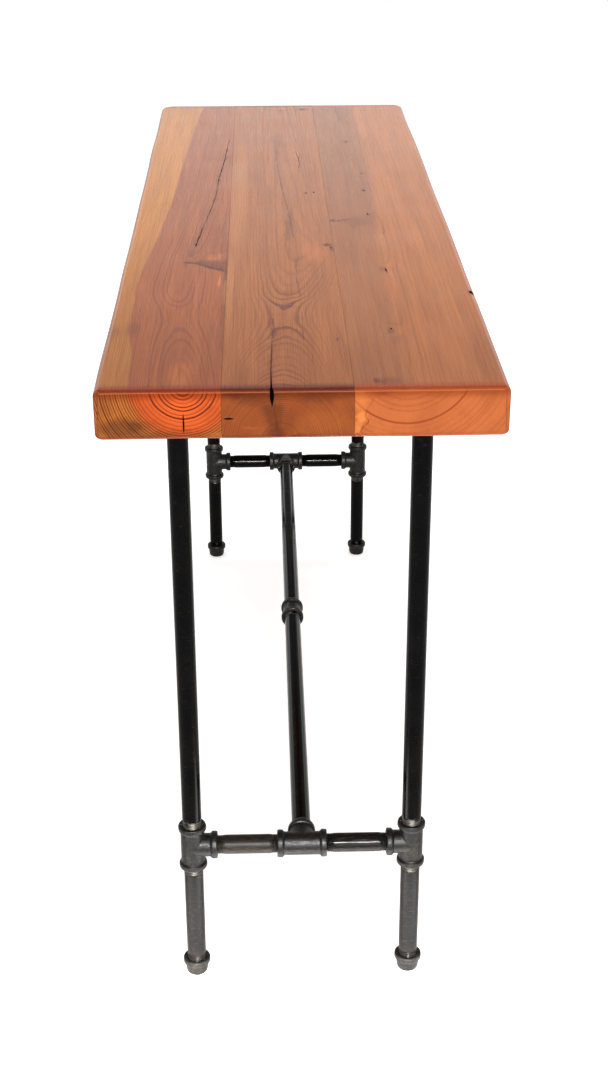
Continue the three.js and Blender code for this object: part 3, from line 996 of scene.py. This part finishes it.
def round_edge(v, low, high, rounded_front, rounded_back):
    """Moves a point of a board's box onto its rounded edge, whose radius varies as sanding leaves it."""
    full_radius = EDGE_RADIUS if v.z > (low.z + high.z) / 2 else LOWER_EDGE_RADIUS
    radius = full_radius * (1 + 0.22 * noise.noise(Vector((v.x * 9, v.y * 14, v.z * 14))))
    core = Vector((
        clamp(v.x, low.x + radius, high.x - radius),
        clamp(v.y, low.y + (radius if rounded_front else 0), high.y - (radius if rounded_back else 0)),
        clamp(v.z, low.z + radius, high.z - radius),
    ))
    offset = v - core
    if offset.length > 1e-7:
        v.xyz = core + offset.normalized() * radius


def round_corner(v, low, high, rounded_front, rounded_back):
    """Moves a point beside an outer corner of the top onto the corner's round outline, as seen from above."""
    at_right, at_back = v.x > (low.x + high.x) / 2, v.y > (low.y + high.y) / 2
    if not (rounded_back if at_back else rounded_front):
        return
    radius = NEAR_CORNER_RADIUS if at_right else FAR_CORNER_RADIUS
    core_x = high.x - radius if at_right else low.x + radius
    core_y = high.y - radius if at_back else low.y + radius
    a, b = v.x - core_x, v.y - core_y
    beyond_x = a > 0 if at_right else a < 0
    beyond_y = b > 0 if at_back else b < 0
    if beyond_x and beyond_y:
        scale = max(abs(a), abs(b)) / math.hypot(a, b)
        v.x, v.y = core_x + a * scale, core_y + b * scale


def add_unevenness(v, low, high, rounded_front, rounded_back):
    """The slight waves that hand-held sanding leaves in an outer side and in the top face."""
    if (v.y < low.y + EDGE_RADIUS and rounded_front) or (v.y > high.y - EDGE_RADIUS and rounded_back):
        v.y += SIDE_WAVE * noise.noise(Vector((v.x * 4.5, math.copysign(3.0, v.y), 0.0)))
    if v.z > high.z - 0.2 * MM:
        v.z += TOP_WAVE * (noise.noise(Vector((v.x * 14, v.y * 22, 5.0))) - 0.5)


def board_surface(low, high, rounded_front, rounded_back):
    """The faces of a board, with its outer edges and corners rounded."""
    verts, faces = box_grid([
        spaced(low.x, high.x, LENGTH_STEP, (True, True)),
        spaced(low.y, high.y, FACE_STEP, (rounded_front, rounded_back)),
        spaced(low.z, high.z, FACE_STEP, (True, True)),
    ])
    for v in verts:
        for shape in (round_edge, round_corner, add_unevenness):
            shape(v, low, high, rounded_front, rounded_back)
    return verts, faces


def wedge_cutter(rows, top):
    """A wedge that follows rows of (x, y, half width, depth), open above the top and closing to an edge."""
    verts = []
    for x, y, half, depth in rows:
        verts += [
            (x, y - half, top + MM), (x, y + half, top + MM), (x, y + half * 0.9, top - 0.4 * depth),
            (x, y, top - depth), (x, y - half * 0.9, top - 0.4 * depth),
        ]
    return capped_tube("split", verts, len(rows), len(verts) // len(rows))


def split_rows(half_width, depth, points):
    """Closely spaced rows along a split, which wanders, narrows and widens, and closes at its ends."""
    total, rows = points[-1][0] - points[0][0], []
    for (x0, y0), (x1, y1) in zip(points, points[1:]):
        steps = max(1, round((x1 - x0) / SPLIT_STEP))
        for i in range(steps):
            x, y = x0 + (x1 - x0) * i / steps, y0 + (y1 - y0) * i / steps
            share = (x - points[0][0]) / total
            full = math.sin(math.pi * (0.04 + 0.92 * share)) ** 0.5
            full = max(full * (1 + 0.9 * noise.noise(Vector((x * 0.06, y, 2.0)))), 0.2)
            y += 1.3 * noise.noise(Vector((x * 0.045, 4.0, 0.0)))
            rows.append((x * MM, y * MM, half_width * full * MM, depth * full * MM))
    return rows


def ragged_plug(centre, across, along, depth, direction):
    """A rough tapering plug for a hole. across and along are (axis, half size); direction is the way in."""
    verts, segments = [], 14
    levels = ((-1.0 * MM, 1.05), (0.0, 1.0), (depth * 0.5, 0.72), (depth, 0.3))
    for level, (into, scale) in enumerate(levels):
        for i in range(segments):
            angle = 2 * math.pi * i / segments
            cos, sin = math.cos(angle), math.sin(angle)
            rough = 1 + 0.3 * noise.noise(Vector((cos * 1.7, sin * 1.7, level + centre.x * 900)))
            a, b = across[1] * scale * rough * cos, along[1] * scale * rough * sin
            verts.append(centre + direction * into + across[0] * a + along[0] * b)
    return capped_tube("plug", verts, len(levels), segments)


def hollows(which, low, high):
    """Everything that is cut out of a board: its splits, holes and checks."""
    for half_width, depth, points in SPLITS[which]:
        yield wedge_cutter(split_rows(half_width, depth, points), high.z)
    for x, y, half_x, half_y, depth in HOLES[which]:
        centre = Vector((x * MM, y * MM, high.z))
        yield ragged_plug(centre, (X_AXIS, half_x * MM), (Y_AXIS, half_y * MM), depth * MM, -Z_AXIS)
    for y, z, half_y, half_z, depth in END_CHECKS[which]:
        centre = Vector((high.x, y * MM, z * MM))
        yield ragged_plug(centre, (Y_AXIS, half_y * MM), (Z_AXIS, half_z * MM), depth * MM, -X_AXIS)
    if which == "middle":
        yield wedge_cutter([tuple(size * MM for size in row) for row in END_SPLIT], high.z)


def add_board(which, hollow):
    node = f"top_board_{which}"
    low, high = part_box(node)
    board = closed_object(f"fine_{node}", *board_surface(low, high, which == "front", which == "back"))
    board.data.materials.append(TimberShader(f"timber_{which}", TIMBERS[which], high.z, high.x).build())
    for cutter in hollows(which, low, high):
        cutter.data.materials.append(hollow)
        cut(board, cutter)
    finish_piece(board, [], node, BOARD_SHARP_DEGREES)


# ---------------------------------------------------------------- the pipes

PIPE_SEGMENTS = 44
BORE_RADIUS = 7.9 * MM
THREAD_LENGTH = 20 * MM
THREAD_TIP_RADIUS = 10.05 * MM
THREAD_PITCH = 1.814 * MM
THREAD_DEPTH = 1.0 * MM
THREAD_RUNOUT = 3 * MM
HIDDEN_THREAD = 9.5 * MM  # the part of a thread that is inside a fitting
THREAD_ROW_STEP = 0.28 * MM
PIPE_BODY_STEP = 22 * MM
PIPE_WAVE = 0.03 * MM
PIPE_SHARP_DEGREES = 50
# How scuffed and dull the lacquer is on the pieces near the camera, and how much painted light turns it grey
# there. The other pipes have it as new.
SCUFF_AND_PAINTED_LIGHT = {
    "cross_nipple_right_front": 1.0,
    "cross_nipple_right_back": 0.6,
    "lower_leg_pipe_right_front": 0.5,
    "lower_leg_pipe_right_back": 0.5,
}


def pipe_radius(outside, along, angle):
    """A pipe's radius at a distance from its nearer end, with its tapered thread."""
    if along >= THREAD_LENGTH:
        return outside
    taper = THREAD_TIP_RADIUS + (outside - THREAD_TIP_RADIUS) * along / THREAD_LENGTH
    turn = (along / THREAD_PITCH - angle / (2 * math.pi)) % 1
    groove = 1 - abs(2 * turn - 1)
    fade = min(1.0, (THREAD_LENGTH - along) / THREAD_RUNOUT)
    return taper - THREAD_DEPTH * fade * max(0.0, groove - 0.12) * 0.95


def pipe_levels(length):
    """Where a pipe's rings of vertices stand along it: close together in the threads that can be seen."""
    end_rows = [0.0, 4 * MM, HIDDEN_THREAD]
    end_rows += list(np.arange(HIDDEN_THREAD + THREAD_ROW_STEP, THREAD_LENGTH + 0.6 * MM, THREAD_ROW_STEP))
    inset = THREAD_LENGTH + 2 * MM
    body = list(np.linspace(inset, length - inset, max(3, round(length / PIPE_BODY_STEP))))
    return end_rows + body + [length - z for z in reversed(end_rows)]


def add_pipe(node, axis, bare, material):
    """A pipe along an axis, with a thread on each end. bare is how much steel shows at its start and end."""
    low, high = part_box(node)
    start = (low + high) / 2
    for i in range(3):
        if axis[i]:
            start[i] = low[i]
    size = high - low
    length, outside = max(size), min(size) / 2
    seed = start.x * 31 + start.y * 57 + start.z * 7
    angles = [2 * math.pi * i / PIPE_SEGMENTS for i in range(PIPE_SEGMENTS)]
    circle = [(math.cos(angle), math.sin(angle)) for angle in angles]
    verts, bareness = [], []
    levels = pipe_levels(length)
    for z in levels:
        along = min(z, length - z)
        for angle, (cos, sin) in zip(angles, circle):
            radius = pipe_radius(outside, along, angle)
            if along >= THREAD_LENGTH:
                radius += PIPE_WAVE * noise.noise(Vector((cos, sin, z * 9 + seed)))
            verts.append((radius * cos, radius * sin, z))
            edge = THREAD_LENGTH - MM + 1.6 * MM * noise.noise(Vector((cos * 2, sin * 2, seed + z)))
            bareness.append((bare[0] if z < length / 2 else bare[1]) if along < edge else 0.0)
    for z, share in ((length, bare[1]), (0.0, bare[0])):
        verts += [(BORE_RADIUS * cos, BORE_RADIUS * sin, z) for cos, sin in circle]
        bareness += [share] * PIPE_SEGMENTS
    faces, count = [], len(levels) + 2
    for ring in range(count):
        faces += ring_faces(ring * PIPE_SEGMENTS, (ring + 1) % count * PIPE_SEGMENTS, PIPE_SEGMENTS)
    place = Matrix.Translation(start) @ Z_AXIS.rotation_difference(axis).to_matrix().to_4x4()
    piece = mesh_object(f"fine_{node}", [place @ Vector(v) for v in verts], faces)
    for name, values in (("bare", bareness), ("scuff_and_painted_light", [SCUFF_AND_PAINTED_LIGHT.get(node, 0.0)] * len(verts))):
        piece.data.attributes.new(name, "FLOAT", "POINT").data.foreach_set("value", values)
    finish_piece(piece, [material], node, PIPE_SHARP_DEGREES)


def add_pipes():
    material = pipe_lacquer()
    for corner in CORNERS:
        add_pipe(f"upper_leg_pipe_{corner}", Z_AXIS, (0.9, 0.9), material)
        add_pipe(f"lower_leg_pipe_{corner}", Z_AXIS, (0.35, 0.9), material)
        add_pipe(f"cross_nipple_{corner}", Y_AXIS, (0.3, 0.3), material)
    for end in ENDS:
        add_pipe(f"stretcher_pipe_{end}", X_AXIS, (0.8, 0.8), material)


# ---------------------------------------------------------------- the castings

CAST_SEGMENTS = 64
VOXEL = 0.6 * MM
BODY_RADIUS = 13 * MM
BAND_WIDTH = 6 * MM
BAND_SLOPE = 1.6 * MM
BAND_ROUND = 0.9 * MM
SOCKET_RADIUS = 10.9 * MM
SOCKET_DEPTH = 14 * MM
SOCKET_FLARE = 1.0 * MM
WATERWAY_RADIUS = 9 * MM
SEAM_WIDTH = 0.9 * MM
SEAM_HEIGHT = 0.3 * MM
RIB_SECTION = (4 * MM, 2.6 * MM)
RIB_SINK = 0.7 * MM
COUPLING_TILT_DEGREES = 20
CAST_SHARP_DEGREES = 40


def band_rows(end, band_radius, side):
    """A banded end's outline, from the body to the mouth at z = side * end."""
    rows = [
        (BODY_RADIUS, end - BAND_WIDTH - BAND_SLOPE),
        (band_radius, end - BAND_WIDTH),
        (band_radius, end - BAND_ROUND),
        (band_radius - BAND_ROUND, end),
    ]
    return rows if side > 0 else [(radius, -z) for radius, z in reversed(rows)]


def rod(name, radius, bottom, top, segments=PIPE_SEGMENTS):
    return solid_of_revolution(name, [(0, bottom), (radius, bottom), (radius, top), (0, top)], segments)


def banded_sleeve(name, end, band_radius):
    """A sleeve along Z with a band at both of its ends, before it is bored."""
    bands = [*band_rows(end, band_radius, -1), *band_rows(end, band_radius, 1)]
    return solid_of_revolution(name, [(0, -end), *bands, (0, end)], CAST_SEGMENTS)


def socket_cutter(end):
    """Bores a fitting's mouth at z = end, with a small flare at its lip."""
    flared = SOCKET_RADIUS + SOCKET_FLARE
    return solid_of_revolution("socket", [
        (0, end - SOCKET_DEPTH), (SOCKET_RADIUS, end - SOCKET_DEPTH), (SOCKET_RADIUS, end - SOCKET_FLARE),
        (flared, end + 0.2 * MM), (flared, end + 2 * MM), (0, end + 2 * MM),
    ], PIPE_SEGMENTS)


def turned_over(obj, axis, degrees):
    obj.data.transform(Matrix.Rotation(math.radians(degrees), 4, axis))
    return obj


def block(name, size, shift):
    """A closed box about the Z axis, moved along X."""
    work = bmesh.new()
    bmesh.ops.create_cube(work, size=1, matrix=Matrix.Diagonal((*size, 1)))
    bmesh.ops.translate(work, verts=work.verts, vec=(shift, 0, 0))
    mesh = bpy.data.meshes.new(name)
    work.to_mesh(mesh)
    work.free()
    return link_object(name, mesh)


def bore(target, *cutters):
    for cutter in cutters:
        make_outward(cutter)
        cut(target, cutter)
    return target


def raise_seam(obj, reach):
    """A low ridge where the two halves of the mould met, on the plane where y is 0."""
    obj.data.update()
    normals = [v.normal.copy() for v in obj.data.vertices]
    for v, normal in zip(obj.data.vertices, normals):
        off = abs(v.co.y)
        if off < SEAM_WIDTH and reach(v.co):
            v.co += normal * SEAM_HEIGHT * (1 - off / SEAM_WIDTH)


def tee_mesh():
    """A tee at the origin: its run along Z, its branch along +X."""
    size = box_size("leg_tee_right_front")
    end, band_radius = size.z / 2, size.x / 2
    run = banded_sleeve("run", end, band_radius)
    outline = [(0, 0), (BODY_RADIUS, 0.1 * MM), *band_rows(end, band_radius, 1), (0, end)]
    branch = solid_of_revolution("branch", outline, CAST_SEGMENTS)
    tee = merge_cast("tee", [run, turned_over(branch, "Y", 90)], VOXEL, 5)
    raise_seam(tee, lambda co: True)
    return bore(
        tee,
        socket_cutter(end),
        turned_over(socket_cutter(end), "X", 180),
        turned_over(socket_cutter(end), "Y", 90),
        rod("waterway", WATERWAY_RADIUS, -end, end),
        turned_over(rod("waterway", WATERWAY_RADIUS, 0, end), "Y", 90),
    )


def cap_mesh():
    """A cap that stands on the origin, with its socket open upwards."""
    size = box_size("foot_cap_right_front")
    height, band_radius = size.z, size.x / 2
    outline = [
        (0, 0), (9.4 * MM, 0), (11.0 * MM, 0.6 * MM), (12.0 * MM, 2.0 * MM), (12.4 * MM, 4.5 * MM),
        (12.9 * MM, 8 * MM), *band_rows(height, band_radius, 1), (0, height),
    ]
    cap = merge_cast("cap", [solid_of_revolution("cap_body", outline, CAST_SEGMENTS)], VOXEL, 4)
    for v in cap.data.vertices:
        v.co.z = max(v.co.z, 0.0)  # the face that stands on the floor stays flat
    raise_seam(cap, lambda co: 1.5 * MM < co.z < height - 1 * MM)
    return bore(cap, socket_cutter(height))


def coupling_mesh():
    """A coupling along Z, centred on the origin, with a straight rib down each side."""
    size = box_size("stretcher_coupling")
    half = size.x / 2
    parts = [banded_sleeve("sleeve", half, size.z / 2)]
    for angle in (0, 90, 180, 270):
        rib = block("rib", (*RIB_SECTION, 2 * half - BAND_WIDTH), BODY_RADIUS - RIB_SINK)
        parts.append(turned_over(rib, "Z", angle))
    coupling = merge_cast("coupling", parts, VOXEL, 4)
    sockets = socket_cutter(half), turned_over(socket_cutter(half), "X", 180)
    return bore(coupling, *sockets, rod("waterway", SOCKET_RADIUS, -half, half))


FLANGE_PLATE = 5 * MM
FLANGE_HUB_RADIUS = 15.4 * MM
FLANGE_FILLET = 4 * MM
FLANGE_RIM_EASE = 1.2 * MM
FLANGE_SEGMENTS = 96
FLANGE_VOXEL = 0.9 * MM
SCREW_HOLE_RADIUS = 2.9 * MM
SCREW_HOLE_SEGMENTS = 28
COUNTERSINK_RADIUS = 5.7 * MM
COUNTERSINK_DEPTH = 2.8 * MM


def screw_places():
    """Where the first flange's screws stand round its axis."""
    centre = box_centre("floor_flange_right_front")
    return [box_centre(f"flange_screw_right_front_{n}") - centre for n in SCREWS]


def flange_mesh():
    """A floor flange whose mounting face is at z = 0, with its hub down."""
    size = box_size("floor_flange_right_front")
    radius, height = size.x / 2, size.z
    outline = [
        (0, -height), (FLANGE_HUB_RADIUS - BAND_ROUND, -height), (FLANGE_HUB_RADIUS, -height + BAND_ROUND),
        (FLANGE_HUB_RADIUS + 0.4 * MM, -FLANGE_PLATE - FLANGE_FILLET),
        (FLANGE_HUB_RADIUS + FLANGE_FILLET * 0.35, -FLANGE_PLATE - FLANGE_FILLET * 0.35),
        (FLANGE_HUB_RADIUS + FLANGE_FILLET, -FLANGE_PLATE), (radius - FLANGE_RIM_EASE, -FLANGE_PLATE),
        (radius, -FLANGE_PLATE + FLANGE_RIM_EASE), (radius, 0), (0, 0),
    ]
    body = solid_of_revolution("flange_body", outline, FLANGE_SEGMENTS)
    flange = merge_cast("flange", [body], FLANGE_VOXEL, 3)
    bore(flange, rod("bore", SOCKET_RADIUS, -height - MM, MM))
    sink_top = -FLANGE_PLATE + COUNTERSINK_DEPTH
    for place in screw_places():
        hole = solid_of_revolution("hole", [
            (0, -FLANGE_PLATE - MM), (COUNTERSINK_RADIUS + MM, -FLANGE_PLATE - MM),
            (SCREW_HOLE_RADIUS, sink_top), (SCREW_HOLE_RADIUS, MM), (0, MM),
        ], SCREW_HOLE_SEGMENTS)
        hole.data.transform(Matrix.Translation((place.x, place.y, 0)))
        bore(flange, hole)
    return flange


SCREW_SEGMENTS = 20
SCREW_HEAD_HEIGHT = 2.5 * MM
SCREW_RADIUS = 2.3 * MM
SCREW_POINT = 5 * MM
SCREW_PITCH = 1.6 * MM
SCREW_SLOT = (4.6 * MM, 1.1 * MM, 2.6 * MM)


def screw_mesh():
    """A countersunk wood screw: the face of its head is at z = 0 and its point is up."""
    size = box_size("flange_screw_right_front_1")
    head_radius, length = size.x / 2, size.z

    def helix(z):
        def at(angle):
            turn = (z / SCREW_PITCH - angle / (2 * math.pi)) % 1
            taper = clamp((length - z) / SCREW_POINT, 0.08, 1.0)
            return (SCREW_RADIUS * (0.7 + 0.3 * (1 - abs(2 * turn - 1))) * taper, z)
        return at

    rows = [(head_radius - 0.2 * MM, 0), (head_radius, 0.15 * MM), (SCREW_RADIUS, SCREW_HEAD_HEIGHT)]
    rows += [helix(z) for z in np.arange(SCREW_HEAD_HEIGHT + 3 * MM, length - 0.1 * MM, 0.45 * MM)]
    verts, faces = turn_rows(rows, SCREW_SEGMENTS)
    close_on_axis(verts, faces, SCREW_SEGMENTS, 0, length)
    screw = closed_object("screw", verts, faces)
    for angle in (0, 90):
        cut(screw, turned_over(block("slot", SCREW_SLOT, 0), "Z", angle))
    return screw


def place_copy(source, node, place, material):
    mesh = source.data.copy()
    mesh.transform(place)
    mesh.name = f"fine_{node}"
    mesh.materials.clear()
    finish_piece(link_object(f"fine_{node}", mesh), [material], node, CAST_SHARP_DEGREES)


def turned_to(run, branch, centre):
    """The matrix that turns +Z to run and +X to branch, and moves the origin to centre."""
    turn = Matrix((branch, run.cross(branch), run)).transposed().to_4x4()
    return Matrix.Translation(centre) @ turn


def add_leg_fittings(corner, tee, cap, flange, iron):
    axis = box_centre(f"upper_leg_pipe_{corner}")
    inward = Vector((0, -math.copysign(1, axis.y), 0))
    tee_place = Vector((axis.x, axis.y, box_centre(f"leg_tee_{corner}").z))
    place_copy(tee, f"leg_tee_{corner}", turned_to(Z_AXIS, inward, tee_place), iron)
    low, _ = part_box(f"foot_cap_{corner}")
    spin = Matrix.Rotation(axis.x * 3 + axis.y * 11, 4, "Z")
    cap_place = Matrix.Translation((axis.x, axis.y, low.z)) @ spin
    place_copy(cap, f"foot_cap_{corner}", cap_place, iron)
    _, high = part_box(f"floor_flange_{corner}")
    flange_place = Matrix.Translation((axis.x, axis.y, high.z))
    place_copy(flange, f"floor_flange_{corner}", flange_place, iron)


def add_screws(corner, screw, oxide):
    axis = box_centre(f"upper_leg_pipe_{corner}")
    for n in SCREWS:
        node = f"flange_screw_{corner}_{n}"
        low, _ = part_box(node)
        centre = box_centre(node)
        spin = Matrix.Rotation(n * 0.7 + axis.x, 4, "Z")
        place_copy(screw, node, Matrix.Translation((centre.x, centre.y, low.z)) @ spin, oxide)


def add_castings():
    iron = cast_iron()
    tee, cap, coupling, flange = tee_mesh(), cap_mesh(), coupling_mesh(), flange_mesh()
    screw, oxide = screw_mesh(), black_oxide()
    for corner in CORNERS:
        add_leg_fittings(corner, tee, cap, flange, iron)
        add_screws(corner, screw, oxide)
    for end in ENDS:
        axis = box_centre(f"upper_leg_pipe_{end}_front")
        towards_middle = Vector((-math.copysign(1, axis.x), 0, 0))
        centre = Vector((axis.x, 0, box_centre(f"stretcher_pipe_{end}").z))
        place_copy(tee, f"centre_tee_{end}", turned_to(Y_AXIS, towards_middle, centre), iron)
    tilt = Matrix.Rotation(math.radians(COUPLING_TILT_DEGREES), 4, "Z")
    coupling_place = turned_to(X_AXIS, Z_AXIS, box_centre("stretcher_coupling")) @ tilt
    place_copy(coupling, "stretcher_coupling", coupling_place, iron)
    for source in (tee, cap, coupling, flange, screw):
        bpy.data.objects.remove(source)


add_camera()
add_floor()
hollow = hollow_wood()
for which in TIMBERS:
    add_board(which, hollow)
add_pipes()
add_castings()
add_studio()
